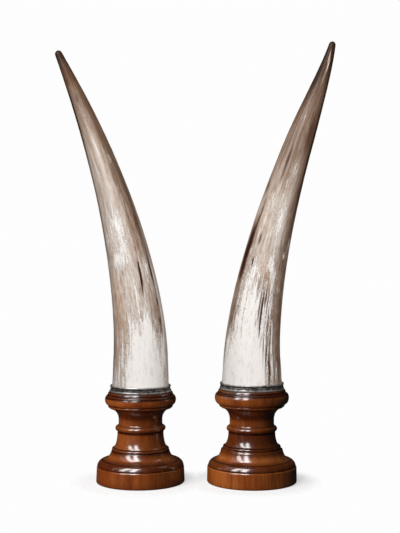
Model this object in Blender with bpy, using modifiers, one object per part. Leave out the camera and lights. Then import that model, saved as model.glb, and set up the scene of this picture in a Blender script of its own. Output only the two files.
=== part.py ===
"""A pair of polished ox horns, each standing upright on a turned wooden stand, with a silver
collar round the base of the horn.

Metres, +Z up. The origin is on the resting surface, midway between the two stands. +X runs
from the left horn to the right one, and the horns lean away from each other. A viewer in front
looks along +Y.
"""

import math
from dataclasses import dataclass

import bpy

# The pair
STAND_SPACING = 0.1454
GAP = 0.0003
MERGE_DISTANCE = 0.00005

# Fineness of the solids
TURNED_STEPS = 32
HORN_SECTIONS = 26
HORN_SIDES = 20
NOSE_SECTIONS = 4
NOSE_END_ANGLE = 84

# Mouldings that both stands share. A half-round is (how far it stands out, half its height).
FOOT_HEIGHT = 0.0216
FOOT_SHOULDER = 0.0024
FOOT_EDGE = 0.0018
GROOVE_DEPTH = 0.0031
GROOVE_WIDTH = 0.0005
CUSHION_RADIUS = 0.0090
CUSHION_CENTRE_Z = 0.0206
CUSHION_INSET = 0.0103
FLARE_BOTTOM_Z = 0.0296
FLARE_INSET = 0.0085
FLARE_OVERLAP = 0.003
WAIST_BEAD = (0.0021, 0.0021)
WAIST_REACH = 0.006
NECK_BEAD = (0.0033, 0.0034)
NECK_BEAD_GAP = 0.0008
NECK_BOTTOM_GAP = 0.0018
COVE_BOTTOM_Z = 0.0815
COVE_INSET = 0.0003
COVE_DROP = 0.0008
CAP_FILLET = (0.0017, 0.0018)
TOP_FILLET = (0.0017, 0.0032)
TOP_CREASE = 0.0004

# Mouldings that both collars share
COLLAR_RIM_HALF = 0.0014
COLLAR_BEAD_HALF = 0.0011
COLLAR_HOLLOW_DEPTH = 0.0001


@dataclass
class Stand:
    """The sizes in which one turned stand differs from the other."""

    height: float
    foot_radius: float
    foot_taper: float
    flare_reach: float
    waist_radius: float
    waist_bead_z: float
    waist_bead_radius: float
    neck_radius: float
    neck_bead_z: float
    neck_bead_radius: float
    cap_fillet_z: float
    cap_fillet_radius: float
    cap_z: float
    cap_core_radius: float
    cap_radius: float
    top_radius: float


@dataclass
class Horn:
    """One horn. It rises straight, then leans by a power of the height, and its tip may curl back.

    girth holds the radius at even steps of the height, from the base to the nose of the tip.
    """

    side: int
    height: float
    straight: float
    lean: float
    bend_power: float
    tip_curl: float
    curl_power: float
    sweep: float
    girth: tuple
    nose_length: float


@dataclass
class Collar:
    """The silver ring round the base of a horn."""

    height: float
    rim_radius: float
    waist_radius: float
    lip_radius: float


STANDS = {
    "left": Stand(
        height=0.1173,
        foot_radius=0.0577,
        foot_taper=0.0008,
        flare_reach=0.0120,
        waist_radius=0.0300,
        waist_bead_z=0.0430,
        waist_bead_radius=0.0373,
        neck_radius=0.0285,
        neck_bead_z=0.0702,
        neck_bead_radius=0.0328,
        cap_fillet_z=0.0988,
        cap_fillet_radius=0.0423,
        cap_z=0.1072,
        cap_core_radius=0.0420,
        cap_radius=0.04635,
        top_radius=0.0409,
    ),
    "right": Stand(
        height=0.1206,
        foot_radius=0.0585,
        foot_taper=0.0003,
        flare_reach=0.0104,
        waist_radius=0.0306,
        waist_bead_z=0.0458,
        waist_bead_radius=0.0378,
        neck_radius=0.0290,
        neck_bead_z=0.0695,
        neck_bead_radius=0.0330,
        cap_fillet_z=0.1000,
        cap_fillet_radius=0.0428,
        cap_z=0.1102,
        cap_core_radius=0.0434,
        cap_radius=0.0484,
        top_radius=0.0424,
    ),
}

HORNS = {
    "left": Horn(
        side=-1,
        height=0.4420,
        straight=0.050,
        lean=0.1072,
        bend_power=1.7,
        tip_curl=0.0,
        curl_power=12.0,
        sweep=0.014,
        girth=(0.0374, 0.0354, 0.0325, 0.0289, 0.0249, 0.0204, 0.0155, 0.0102, 0.0044),
        nose_length=0.005,
    ),
    "right": Horn(
        side=1,
        height=0.4506,
        straight=0.040,
        lean=0.1123,
        bend_power=1.6,
        tip_curl=0.008,
        curl_power=12.0,
        sweep=0.014,
        girth=(0.0399, 0.0364, 0.0329, 0.0290, 0.0254, 0.0216, 0.0171, 0.0109, 0.0040),
        nose_length=0.005,
    ),
}

COLLARS = {
    "left": Collar(height=0.0084, rim_radius=0.0405, waist_radius=0.0392, lip_radius=0.0397),
    "right": Collar(height=0.0084, rim_radius=0.0421, waist_radius=0.0413, lip_radius=0.0417),
}

# Colour, roughness and metallic of each piece
FINISHES = {
    "stand_left": ((0.24, 0.085, 0.03), 0.28, 0.0),
    "stand_right": ((0.22, 0.075, 0.027), 0.28, 0.0),
    "collar_left": ((0.78, 0.77, 0.75), 0.2, 1.0),
    "collar_right": ((0.78, 0.77, 0.75), 0.2, 1.0),
    "horn_left": ((0.47, 0.42, 0.37), 0.35, 0.0),
    "horn_right": ((0.45, 0.40, 0.35), 0.35, 0.0),
}


def clear_scene():
    """Removes whatever the scene holds."""
    for obj in list(bpy.data.objects):
        bpy.data.objects.remove(obj)


def finish(name):
    """A plain material in the piece's own colour."""
    colour, roughness, metallic = FINISHES[name]
    material = bpy.data.materials.new(name)
    material.use_nodes = True
    shader = material.node_tree.nodes["Principled BSDF"]
    shader.inputs["Base Color"].default_value = (*colour, 1.0)
    shader.inputs["Roughness"].default_value = roughness
    shader.inputs["Metallic"].default_value = metallic
    return material


def place(name, data, collection, parent, height):
    """Makes the object of one piece and stands it on its own axis, at a height above the surface."""
    data.materials.append(finish(name))
    piece = bpy.data.objects.new(name, data)
    piece.parent = parent
    piece.location.z = height
    collection.objects.link(piece)
    return piece


def arc(centre, reach, start, end, count):
    """Points (radius, height) on part of an ellipse, from one angle to another.

    0 degrees points straight out from the centre and 90 straight up. A negative reach turns the
    curve over, which makes a hollow of it.
    """
    points = []
    for step in range(count):
        angle = math.radians(start + (end - start) * step / (count - 1))
        radius = centre[0] + reach[0] * math.cos(angle)
        level = centre[1] + reach[1] * math.sin(angle)
        points.append((radius, level))
    return points


def turn(name, profile, closed, collection, parent, height):
    """Spins a profile, which runs down its outer side, once round the vertical axis."""
    links = [(number, number + 1) for number in range(len(profile) - 1)]
    if closed:
        links.append((len(profile) - 1, 0))
    mesh = bpy.data.meshes.new(name)
    mesh.from_pydata([(radius, 0.0, level) for radius, level in profile], links, [])
    piece = place(name, mesh, collection, parent, height)
    screw = piece.modifiers.new("turn", "SCREW")
    screw.axis = "Z"
    screw.angle = math.tau
    screw.steps = TURNED_STEPS
    screw.render_steps = TURNED_STEPS
    screw.use_merge_vertices = True
    screw.merge_threshold = MERGE_DISTANCE
    screw.use_smooth_shade = True
    return piece


def stand_profile(stand):
    """The turned outline of a stand, from the middle of its top down to the middle of its foot."""
    top = stand.height
    points = [(0.0, top)]
    # A thin sloping fillet under the collar
    points += arc((stand.top_radius, top - TOP_FILLET[1]), TOP_FILLET, 90, 15, 3)
    # The big round moulding of the cap, fuller below than above
    cap_centre = (stand.cap_core_radius, stand.cap_z)
    cap_reach = stand.cap_radius - stand.cap_core_radius
    rise = top - TOP_FILLET[1] - TOP_CREASE - stand.cap_z
    drop = stand.cap_z - stand.cap_fillet_z - CAP_FILLET[1]
    points += arc(cap_centre, (cap_reach, rise), 72, 0, 4)
    points += arc(cap_centre, (cap_reach, drop), -26, -74, 3)
    # A small fillet under it
    points += arc((stand.cap_fillet_radius - CAP_FILLET[0], stand.cap_fillet_z), CAP_FILLET, 62, -70, 3)
    # The hollow that runs in to the neck
    cove_radius = stand.cap_fillet_radius - COVE_INSET
    cove_rise = stand.cap_fillet_z - CAP_FILLET[1] - COVE_DROP - COVE_BOTTOM_Z
    points += arc((cove_radius, COVE_BOTTOM_Z), (stand.neck_radius - cove_radius, cove_rise), 78, 4, 5)
    points.append((stand.neck_radius, stand.neck_bead_z + NECK_BEAD[1] + NECK_BOTTOM_GAP))
    # The bead round the neck
    points += arc((stand.neck_bead_radius - NECK_BEAD[0], stand.neck_bead_z), NECK_BEAD, 78, -78, 5)
    # The waist, which widens downwards in a long hollow
    waist_top = stand.neck_bead_z - NECK_BEAD[1] - NECK_BEAD_GAP
    waist_drop = waist_top - stand.waist_bead_z - WAIST_BEAD[1]
    points += arc((stand.waist_radius + WAIST_REACH, waist_top), (-WAIST_REACH, -waist_drop), 4, 82, 4)
    # A narrow bead at the foot of the waist
    points += arc((stand.waist_bead_radius - WAIST_BEAD[0], stand.waist_bead_z), WAIST_BEAD, 66, -50, 3)
    # The flare, hollow again, down to the cushion moulding
    flare_radius = stand.foot_radius - FLARE_INSET
    flare_top = stand.waist_bead_z + FLARE_OVERLAP
    flare_drop = flare_top - FLARE_BOTTOM_Z
    points += arc((flare_radius, flare_top), (-stand.flare_reach, -flare_drop), 21, 86, 4)
    # The cushion moulding and the groove beneath it
    cushion_centre = (stand.foot_radius - CUSHION_INSET, CUSHION_CENTRE_Z)
    points += arc(cushion_centre, (CUSHION_RADIUS, CUSHION_RADIUS), 66, 10, 4)
    groove_radius = stand.foot_radius - stand.foot_taper - GROOVE_DEPTH
    points.append((groove_radius, FOOT_HEIGHT + GROOVE_WIDTH))
    points.append((groove_radius, FOOT_HEIGHT))
    # The drum of the foot, with a round shoulder and a softened lower edge
    shoulder_radius = stand.foot_radius - stand.foot_taper - FOOT_SHOULDER
    shoulder_centre = (shoulder_radius, FOOT_HEIGHT - FOOT_SHOULDER)
    points += arc(shoulder_centre, (FOOT_SHOULDER, FOOT_SHOULDER), 72, 0, 3)
    points += arc((stand.foot_radius - FOOT_EDGE, FOOT_EDGE), (FOOT_EDGE, FOOT_EDGE), 0, -90, 3)
    points.append((0.0, 0.0))
    return points


def collar_profile(collar, horn):
    """The closed outline of a collar: a half-round rim, a hollow and a fine bead under the lip."""
    # A turned hole has flat sides, so it is cut wide enough for them to clear the horn
    widen = 1.0 / math.cos(math.pi / TURNED_STEPS)
    inner_bottom = (girth_at(horn, 0.0) + GAP) * widen
    inner_top = (girth_at(horn, collar.height) + GAP) * widen
    waist, top = collar.waist_radius, collar.height
    points = [(inner_top, top), (waist, top)]
    bead_centre = (waist, top - COLLAR_BEAD_HALF)
    points += arc(bead_centre, (collar.lip_radius - waist, COLLAR_BEAD_HALF), 40, -60, 3)
    points.append((waist - COLLAR_HOLLOW_DEPTH, top / 2))
    points += arc((waist, COLLAR_RIM_HALF), (collar.rim_radius - waist, COLLAR_RIM_HALF), 80, -70, 4)
    points.append((inner_bottom, 0.0))
    return points


def girth_at(horn, height):
    """The horn's radius at a height, on a smooth curve through its girths."""
    last = len(horn.girth) - 1
    along = min(max(height / horn.height, 0.0), 1.0) * last
    number = min(int(along), last - 1)
    part = along - number
    before = horn.girth[number - 1] if number else 2 * horn.girth[0] - horn.girth[1]
    here, after = horn.girth[number], horn.girth[number + 1]
    beyond = horn.girth[number + 2] if number + 2 <= last else 2 * after - here
    slope_here = (after - before) / 2
    slope_after = (beyond - here) / 2
    square, cube = part * part, part * part * part
    return (
        (2 * cube - 3 * square + 1) * here
        + (cube - 2 * square + part) * slope_here
        + (3 * square - 2 * cube) * after
        + (cube - square) * slope_after
    )


def centre_at(horn, height):
    """The point of the horn's middle line at a height above its base."""
    bend = max(0.0, (height - horn.straight) / (horn.height - horn.straight))
    lean = horn.lean * bend**horn.bend_power - horn.tip_curl * bend**horn.curl_power
    return (horn.side * lean, -horn.sweep * bend**2, height)


def horn_sections(horn):
    """Heights and radii of the horn's sections, with a rounded nose at the tip."""
    body = horn.height - horn.nose_length
    sections = []
    for step in range(HORN_SECTIONS + 1):
        height = body * step / HORN_SECTIONS
        sections.append((height, girth_at(horn, height)))
    nose_radius = girth_at(horn, body)
    for step in range(1, NOSE_SECTIONS + 1):
        angle = math.radians(NOSE_END_ANGLE) * step / NOSE_SECTIONS
        sections.append((body + horn.nose_length * math.sin(angle), nose_radius * math.cos(angle)))
    return sections


def make_horn(name, horn, collection, parent, height):
    """A round rod along the horn's bent middle line, tapering to the tip."""
    sections = horn_sections(horn)
    curve = bpy.data.curves.new(name, "CURVE")
    curve.dimensions = "3D"
    curve.bevel_depth = 1.0
    curve.bevel_resolution = HORN_SIDES // 2 - 2
    curve.use_fill_caps = True
    spline = curve.splines.new("POLY")
    spline.points.add(len(sections) - 1)
    for point, (level, radius) in zip(spline.points, sections):
        point.co = (*centre_at(horn, level), 1.0)
        point.radius = radius
    return place(name, curve, collection, parent, height)


def make_pair():
    """Both stands, collars and horns, each set parented to an empty on its stand's axis."""
    clear_scene()
    collection = bpy.data.collections.new("pair_of_horns")
    bpy.context.scene.collection.children.link(collection)
    for side, horn in HORNS.items():
        stand, collar = STANDS[side], COLLARS[side]
        axis = bpy.data.objects.new(f"axis_{side}", None)
        axis.location.x = horn.side * STAND_SPACING / 2
        collection.objects.link(axis)
        turn(f"stand_{side}", stand_profile(stand), False, collection, axis, 0.0)
        seat = stand.height + GAP
        turn(f"collar_{side}", collar_profile(collar, horn), True, collection, axis, seat)
        make_horn(f"horn_{side}", horn, collection, axis, seat)


make_pair()
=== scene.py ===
# %% [markdown]
# # A pair of polished horns on turned stands
# This lesson dresses a finished CAD model: two ox horns, each on a turned wooden stand with a
# silver collar round the base of the horn. The CAD model fixes every size. Here each piece is
# made again with more faces, in the same place, and gets a finish made of nodes.

import math
from dataclasses import dataclass

import bmesh
import bpy
import numpy as np
from mathutils import Matrix, Vector, noise


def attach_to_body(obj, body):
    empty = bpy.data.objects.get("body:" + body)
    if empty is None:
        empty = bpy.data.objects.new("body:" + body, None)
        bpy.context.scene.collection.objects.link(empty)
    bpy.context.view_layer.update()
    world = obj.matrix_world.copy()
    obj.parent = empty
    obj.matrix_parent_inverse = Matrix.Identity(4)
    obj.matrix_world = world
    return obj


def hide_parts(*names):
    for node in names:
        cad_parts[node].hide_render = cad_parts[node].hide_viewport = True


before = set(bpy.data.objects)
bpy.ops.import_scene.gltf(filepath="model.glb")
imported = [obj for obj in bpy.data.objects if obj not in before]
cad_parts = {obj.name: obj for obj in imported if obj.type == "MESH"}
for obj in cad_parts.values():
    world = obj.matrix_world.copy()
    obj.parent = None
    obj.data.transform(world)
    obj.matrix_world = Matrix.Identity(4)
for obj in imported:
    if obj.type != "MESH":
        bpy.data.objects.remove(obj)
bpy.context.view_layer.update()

# %% [markdown]
# ## The camera
# The photograph is taken from straight ahead, level with the middle of the picture. A lens of
# 68 mm at 1.3 m shows a little of the round tops of the mouldings, and keeps the horns' lines
# as slender as they look on a shelf. The camera comes first, so that all else is set against it.

# %% Camera
EYE = (0.005, -1.31, 0.2805)
LENS = 67.7
SENSOR = 36.0

camera_data = bpy.data.cameras.new("camera")
camera_data.lens = LENS
camera_data.sensor_width = SENSOR
camera = bpy.data.objects.new("camera", camera_data)
camera.location = EYE
camera.rotation_euler = (math.radians(90), 0.0, 0.0)
bpy.context.scene.collection.objects.link(camera)
bpy.context.scene.camera = camera
print("The camera stands at", EYE)

# %% [markdown]
# ## A small language for finishes
# A finish is a tree of nodes. Wiring each node by hand makes long code, so one class wraps a
# socket and lets it take part in a sum: `1 - mask` or `shade * 0.5 + 0.2` add Math nodes.
# A second class adds every other kind of node to a tree, with a single method. A third starts
# the tree of one finish, and knows the few groups of nodes that the finishes here share.


# %% Sums of sockets
class Wire:
    """The output of a node, which takes part in sums as a number would."""

    def __init__(self, nodes, socket):
        self.nodes = nodes
        self.socket = socket

    def sum(self, operation, first, second):
        return self.nodes.node("ShaderNodeMath", {"operation": operation}, {0: first, 1: second})

    def __add__(self, other):
        return self.sum("ADD", self, other)

    def __radd__(self, other):
        return self.sum("ADD", other, self)

    def __sub__(self, other):
        return self.sum("SUBTRACT", self, other)

    def __rsub__(self, other):
        return self.sum("SUBTRACT", other, self)

    def __mul__(self, other):
        return self.sum("MULTIPLY", self, other)

    def __rmul__(self, other):
        return self.sum("MULTIPLY", other, self)


# %% Trees of nodes
class Nodes:
    """A tree of nodes, of a finish or of the room."""

    def __init__(self, tree):
        self.tree = tree

    def feed(self, socket, value):
        """Links a wire to a socket, or writes a value on it."""
        if isinstance(value, Wire):
            self.tree.links.new(value.socket, socket)
        elif isinstance(value, tuple) and len(value) == 3 and socket.type == "RGBA":
            socket.default_value = (*value, 1.0)
        else:
            socket.default_value = value

    def node(self, kind, settings=None, sockets=None, output=0):
        """Adds a node: its settings first, then the values or wires of its sockets."""
        made = self.tree.nodes.new(kind)
        settings = dict(settings or {})
        for number, (place, colour) in enumerate(settings.pop("stops", [])):
            stops = made.color_ramp.elements
            stop = stops[number] if number < len(stops) else stops.new(place)
            stop.position = place
            stop.color = (*colour, 1.0)
        for name, value in settings.items():
            setattr(made, name, value)
        for name, value in (sockets or {}).items():
            self.feed(made.inputs[name], value)
        return Wire(self, made.outputs[output])


# %% Finishes
class Finish(Nodes):
    """The nodes of one finish. Values that are the same all over go on the shader's own sockets."""

    def __init__(self, name, **even):
        self.material = bpy.data.materials.new(name)
        self.material.use_nodes = True
        super().__init__(self.material.node_tree)
        self.shader = self.tree.nodes["Principled BSDF"]
        for socket, value in even.items():
            self.shader.inputs[socket.replace("_", " ")].default_value = value

    def position(self):
        """Where a point of the piece is, in metres."""
        return self.node("ShaderNodeTexCoord", output="Object")

    def painted(self, name, output="Fac"):
        """An attribute that was painted on the mesh."""
        return self.node("ShaderNodeAttribute", {"attribute_name": name}, output=output)

    def stretch(self, vector, along, across=1.0):
        """Draws a pattern out along the height where along is the smaller factor."""
        factors = (across, across, along)
        return self.node("ShaderNodeVectorMath", {"operation": "MULTIPLY"}, {0: vector, 1: factors})

    def shift(self, vector, offset):
        """Moves a pattern."""
        return self.node("ShaderNodeVectorMath", {"operation": "ADD"}, {0: vector, 1: offset})

    def cloud(self, vector, scale, detail=3.0, roughness=0.55, distortion=0.0):
        """Soft noise from about 0.25 to 0.75, with a mean of 0.5."""
        sockets = {
            "Vector": vector,
            "Scale": scale,
            "Detail": detail,
            "Roughness": roughness,
            "Distortion": distortion,
        }
        return self.node("ShaderNodeTexNoise", None, sockets)

    def ease(self, value, low, high, to_low=0.0, to_high=1.0):
        """Rises smoothly from to_low to to_high while the value goes from low to high."""
        settings = {"interpolation_type": "SMOOTHSTEP"}
        sockets = {
            "Value": value,
            "From Min": low,
            "From Max": high,
            "To Min": to_low,
            "To Max": to_high,
        }
        return self.node("ShaderNodeMapRange", settings, sockets)

    def blend(self, share, first, second, way="MIX"):
        """Mixes two colours."""
        settings = {"data_type": "RGBA", "blend_type": way, "clamp_factor": True}
        return self.node("ShaderNodeMix", settings, {0: share, 6: first, 7: second}, output=2)

    def bump(self, height, depth, after=None):
        """Turns a height from 0 to 1 into a relief so many metres deep."""
        sockets = {"Height": height, "Distance": depth, "Strength": 1.0}
        if after is not None:
            sockets["Normal"] = after
        return self.node("ShaderNodeBump", None, sockets)

    def use(self, **sockets):
        """Sends wires to the shader."""
        for name, wire in sockets.items():
            self.feed(self.shader.inputs[name.replace("_", " ")], wire)


print("Finishes can now be written as sums.")

# %% [markdown]
# ## Wood of the stands
# The stands are turned from one reddish brown wood, stained and then lacquered. Its fibres run
# up the stand, so streaks show as upright lines on the foot. The creases between mouldings are
# painted dark, partly stain that settles there and partly painted shade. The stain is also
# painted darker in the hollows, as painted shade, and lighter on the cap's belly and the flare,
# as painted highlights. A solid texture, stretched along the height, is right for turned work:
# the lathe cuts through the same fibres at every moulding. Where a moulding lies level, the ends
# of the fibres would show as dots, but there the stain soaks in and hides them, so the fibres
# fade by a painted measure of how upright the outline runs. The lacquer is the shader's coat,
# far smoother than the wood beneath it.

# %% Wood
WOOD_DEEP = (0.115, 0.0215, 0.0026)
WOOD_MIDDLE = (0.27, 0.07, 0.0115)
WOOD_LIGHT = (0.5, 0.172, 0.037)
WOOD_CREASE_SHADE_AND_STAIN = (0.014, 0.002, 0.0005)
WOOD_STAIN_AND_SHADE = (0.28, 0.2, 0.13)
WOOD_RELIEF = 0.000012


def wood_finish(name, start, warmth):
    """Stained and lacquered wood, with painted shade and highlights. start moves the grain, so that
    no two stands are alike.
    """
    wood = Finish(name, Coat_Roughness=0.18, Coat_IOR=2.2, IOR=1.2)
    place = wood.shift(wood.position(), start)
    broad = wood.cloud(wood.stretch(place, 0.16), 45.0, 3.0, 0.6)
    upright = wood.ease(wood.painted("upright"), 0.5, 1.0, 0.12, 1.0)
    fibres = wood.cloud(wood.stretch(place, 0.06), 420.0, 4.0, 0.65, 0.2)
    fibres = (fibres - 0.5) * upright + 0.5
    pores = wood.cloud(wood.stretch(place, 0.035), 1500.0, 2.0, 0.5)
    flame = wood.cloud(wood.stretch(place, 0.35), 22.0, 2.0, 0.5)
    crease = wood.painted("crease")

    tone = wood.ease(broad * 0.7 + fibres * 0.3, 0.2, 0.72)
    colour = wood.blend(tone, WOOD_DEEP, WOOD_MIDDLE)
    glow = wood.ease(flame * 0.6 + fibres * 0.4, 0.34, 0.74) * warmth
    colour = wood.blend(glow, colour, WOOD_LIGHT)
    pore = wood.ease(pores, 0.62, 0.7) * upright
    colour = wood.blend(pore * 0.35, colour, WOOD_DEEP)
    worn = wood.cloud(place, 240.0, 3.0)
    # The painted stain is real stain and painted light: painted shade in the hollows, and painted
    # highlights where it is light on the cap's belly and the flare.
    stain_and_light = wood.ease(wood.painted("stain_and_light") + (worn - 0.5) * 0.2, 0.0, 1.0)
    darkened = wood.blend(1.0, colour, WOOD_STAIN_AND_SHADE, "MULTIPLY")
    colour = wood.blend(stain_and_light, colour, darkened)
    # Painted shade in the creases between mouldings, together with the stain that settles there:
    # the wood goes nearly black.
    crease_shade_and_stain = wood.ease(crease + (worn - 0.5) * 0.12, 0.15, 0.85)
    colour = wood.blend(crease_shade_and_stain * 0.92, colour, WOOD_CREASE_SHADE_AND_STAIN)

    rough = 0.42 + (fibres - 0.5) * 0.3 + crease_shade_and_stain * 0.15
    smear = wood.cloud(wood.stretch(place, 2.0), 38.0, 3.0)
    lacquer = wood.ease(smear, 0.3, 0.7, 0.8, 1.0) - crease_shade_and_stain * 0.6
    lathe = wood.cloud(wood.stretch(place, 1.0, 0.02), 1900.0, 2.0)
    relief = fibres * 0.5 + pore * -0.4 + lathe * 0.5
    wood.use(Base_Color=colour, Roughness=rough, Coat_Weight=lacquer)
    wood.use(Normal=wood.bump(relief, WOOD_RELIEF))
    return wood.material


woods = {
    "left": wood_finish("wood_left", (0.31, 0.07, 0.52), 0.55),
    "right": wood_finish("wood_right", (0.83, 0.44, 0.19), 1.0),
}
print("Wood:", [material.name for material in woods.values()])

# %% [markdown]
# ## Silver of the collars
# Each collar is thin silver, polished by hand. The high lines are bright and the hollows keep
# some dark tarnish. Rubbing goes round the horn, so the fine scratches do too.

# %% Silver
SILVER_BRIGHT = (0.66, 0.65, 0.63)
SILVER_TARNISH = (0.085, 0.07, 0.06)
SILVER_RELIEF = 0.00006


def silver_finish():
    """Polished silver with tarnish where a cloth doesn't reach."""
    silver = Finish("silver", Metallic=0.75)
    place = silver.position()
    crease = silver.painted("crease")
    spots = silver.cloud(place, 260.0, 4.0, 0.65)
    rubbed = silver.cloud(silver.stretch(place, 9.0), 900.0, 3.0)
    patches = silver.cloud(silver.stretch(place, 2.0), 70.0, 3.0, 0.6)
    dark = silver.ease(crease * 0.9 + (spots - 0.5) * 1.6 + (patches - 0.42) * 1.8, 0.1, 0.9)
    colour = silver.blend(dark, SILVER_BRIGHT, SILVER_TARNISH)
    rough = 0.36 + dark * 0.2 + (rubbed - 0.5) * 0.22
    silver.use(Base_Color=colour, Roughness=rough)
    silver.use(Normal=silver.bump(rubbed * 0.5 + spots * 0.5, SILVER_RELIEF))
    return silver.material


silver = silver_finish()
print("Silver:", silver.name)

# %% [markdown]
# ## Turning a piece on the lathe
# The stands and collars are turned work, so each starts as the outline of one side and is spun
# round its axis. An outline is a row of mouldings, each a part of an ellipse or a straight
# stretch. Points close together on the outline keep the round mouldings round in the render.


# %% Outlines
def arc(centre, reach, start, end, count):
    """Points (radius, height) on part of an ellipse. A negative reach makes a hollow of it."""
    points = []
    for step in range(count):
        angle = math.radians(start + (end - start) * step / (count - 1))
        radius = centre[0] + reach[0] * math.cos(angle)
        points.append((radius, centre[1] + reach[1] * math.sin(angle)))
    return points


def line(start, end, count):
    """Points on a straight stretch of an outline, both ends included."""
    first, last = Vector(start), Vector(end)
    return [tuple(first.lerp(last, step / (count - 1))) for step in range(count)]


print("A quarter round of 1, in four points:", arc((0.0, 0.0), (1.0, 1.0), 0, 90, 4))

# %% [markdown]
# Three things are painted on an outline before it is spun. Where one moulding meets the next
# there is a crease. On the wood it holds painted shade together with stain that settles there,
# and on the silver tarnish settles in it. The stain is darker on some mouldings than on others,
# and it also carries painted light: painted shade in the hollows and painted highlights on the
# cap's belly and the flare. And the outline runs more or less upright, which the wood's fibres
# ask for.

# %% Paint on an outline
CREASE_REACH = 0.0014
MERGE_DISTANCE = 0.00001


def stain_and_light_at(points, stations):
    """How dark the stain and its painted light make each point, between stations (height in mm,
    share).
    """
    heights, shares = zip(*stations)
    return np.interp([height * 1000 for _, height in points], heights, shares).tolist()


def upright_at(points):
    """How upright the outline runs at each point: 0 where it is level, 1 where it is upright."""
    radii, heights = np.gradient(np.array(points), axis=0).T
    return (np.abs(heights) / np.maximum(np.hypot(radii, heights), MERGE_DISTANCE)).tolist()


def near_crease(points, creases):
    """How near each point lies to a crease: 1 in it, 0 beyond its reach."""
    shares = []
    for point in points:
        gap = min((Vector(point) - Vector(crease)).length for crease in creases)
        shares.append(math.exp(-((gap / CREASE_REACH) ** 2)))
    return shares


print("Beside a crease the paint is", near_crease([(CREASE_REACH, 0.0)], [(0.0, 0.0)]))

# %% [markdown]
# The spin operator could go the whole way round, but on a fine outline that is slow. It goes an
# eighth of the way here, and turned copies make up the rest. Merging the doubles then closes
# the seams between the shares, and the poles on the axis.

# %% Spinning
SHARES = 8


def spin(points, paint, closed, steps):
    """Spins an outline round the vertical axis, and carries what is painted on it."""
    shape = bmesh.new()
    layers = {name: shape.verts.layers.float.new(name) for name in paint}
    corners = []
    for number, (radius, height) in enumerate(points):
        corner = shape.verts.new((radius, 0.0, height))
        for name, layer in layers.items():
            corner[layer] = paint[name][number]
        corners.append(corner)
    ends = corners[1:] + corners[:1] if closed else corners[1:]
    for corner, after in zip(corners, ends):
        shape.edges.new((corner, after))
    bmesh.ops.spin(
        shape,
        geom=shape.verts[:] + shape.edges[:],
        cent=(0.0, 0.0, 0.0),
        axis=(0.0, 0.0, 1.0),
        dvec=(0.0, 0.0, 0.0),
        angle=math.tau / SHARES,
        steps=steps // SHARES,
        use_merge=False,
    )
    share = shape.verts[:] + shape.edges[:] + shape.faces[:]
    for number in range(1, SHARES):
        copy = bmesh.ops.duplicate(shape, geom=share)["geom"]
        turned = [element for element in copy if isinstance(element, bmesh.types.BMVert)]
        turn = Matrix.Rotation(math.tau * number / SHARES, 3, "Z")
        bmesh.ops.rotate(shape, verts=turned, cent=(0.0, 0.0, 0.0), matrix=turn)
    bmesh.ops.remove_doubles(shape, verts=shape.verts[:], dist=MERGE_DISTANCE)
    bmesh.ops.recalc_face_normals(shape, faces=shape.faces[:])
    return shape


print("A full turn takes", SHARES, "shares of", 360 / SHARES, "degrees")


# %% Showing a piece
def show(name, shape, node, material):
    """Makes the object of a finished shape, which stands for its CAD node."""
    for face in shape.faces:
        face.smooth = True
    mesh = bpy.data.meshes.new(name)
    shape.to_mesh(mesh)
    shape.free()
    mesh.materials.append(material)
    piece = bpy.data.objects.new(name, mesh)
    bpy.context.scene.collection.objects.link(piece)
    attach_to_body(piece, "root")
    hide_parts(node)
    triangles = sum(len(polygon.vertices) - 2 for polygon in mesh.polygons)
    print(name, "has", triangles, "triangles")
    return piece


print("Pieces can now be shown in place of the CAD nodes.")

# %% [markdown]
# ## The stands
# Both stands follow one pattern, from the top down: a thin fillet, the round cap with a fine
# groove in it, a small fillet, a hollow to the neck, a bead, the waist, a narrow bead, a flare,
# a cushion, and the drum of the foot. A turner makes no two quite alike, so the sizes that
# differ are listed for each, and the shared ones once.

# %% Sizes of the stands
STAND_SPACING = 0.1454
GAP = 0.0003
TURNED_STEPS = 192
FOOT_HEIGHT = 0.0216
FOOT_SHOULDER = 0.0024
FOOT_EDGE = 0.0018
GROOVE_DEPTH = 0.0031
GROOVE_WIDTH = 0.0005
CUSHION_RADIUS = 0.009
CUSHION_CENTRE_Z = 0.0206
CUSHION_INSET = 0.0103
FLARE_BOTTOM_Z = 0.0296
FLARE_INSET = 0.0085
FLARE_OVERLAP = 0.003
WAIST_BEAD = (0.0021, 0.0021)
WAIST_REACH = 0.006
NECK_BEAD = (0.0033, 0.0034)
NECK_BEAD_GAP = 0.0008
NECK_BOTTOM_GAP = 0.0018
COVE_BOTTOM_Z = 0.0815
COVE_INSET = 0.0003
COVE_DROP = 0.0008
CAP_FILLET = (0.0017, 0.0018)
TOP_FILLET = (0.0017, 0.0032)
TOP_CREASE = 0.0004
QUIRK_DEPTH = 0.0007
QUIRK_HALF_ANGLE = 5.0
UNDERSIDE_INSET = 0.001


@dataclass
class Stand:
    """The sizes in which one turned stand differs from the other, in metres."""

    side: int
    height: float
    foot_radius: float
    foot_taper: float
    flare_reach: float
    waist_radius: float
    waist_bead_z: float
    waist_bead_radius: float
    neck_radius: float
    neck_bead_z: float
    neck_bead_radius: float
    cap_fillet_z: float
    cap_fillet_radius: float
    cap_z: float
    cap_core_radius: float
    cap_radius: float
    cap_quirk_z: float
    top_radius: float

    @property
    def axis_x(self):
        return self.side * STAND_SPACING / 2

    @property
    def seat(self):
        """The height on which the horn and its collar stand."""
        return self.height + GAP


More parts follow.
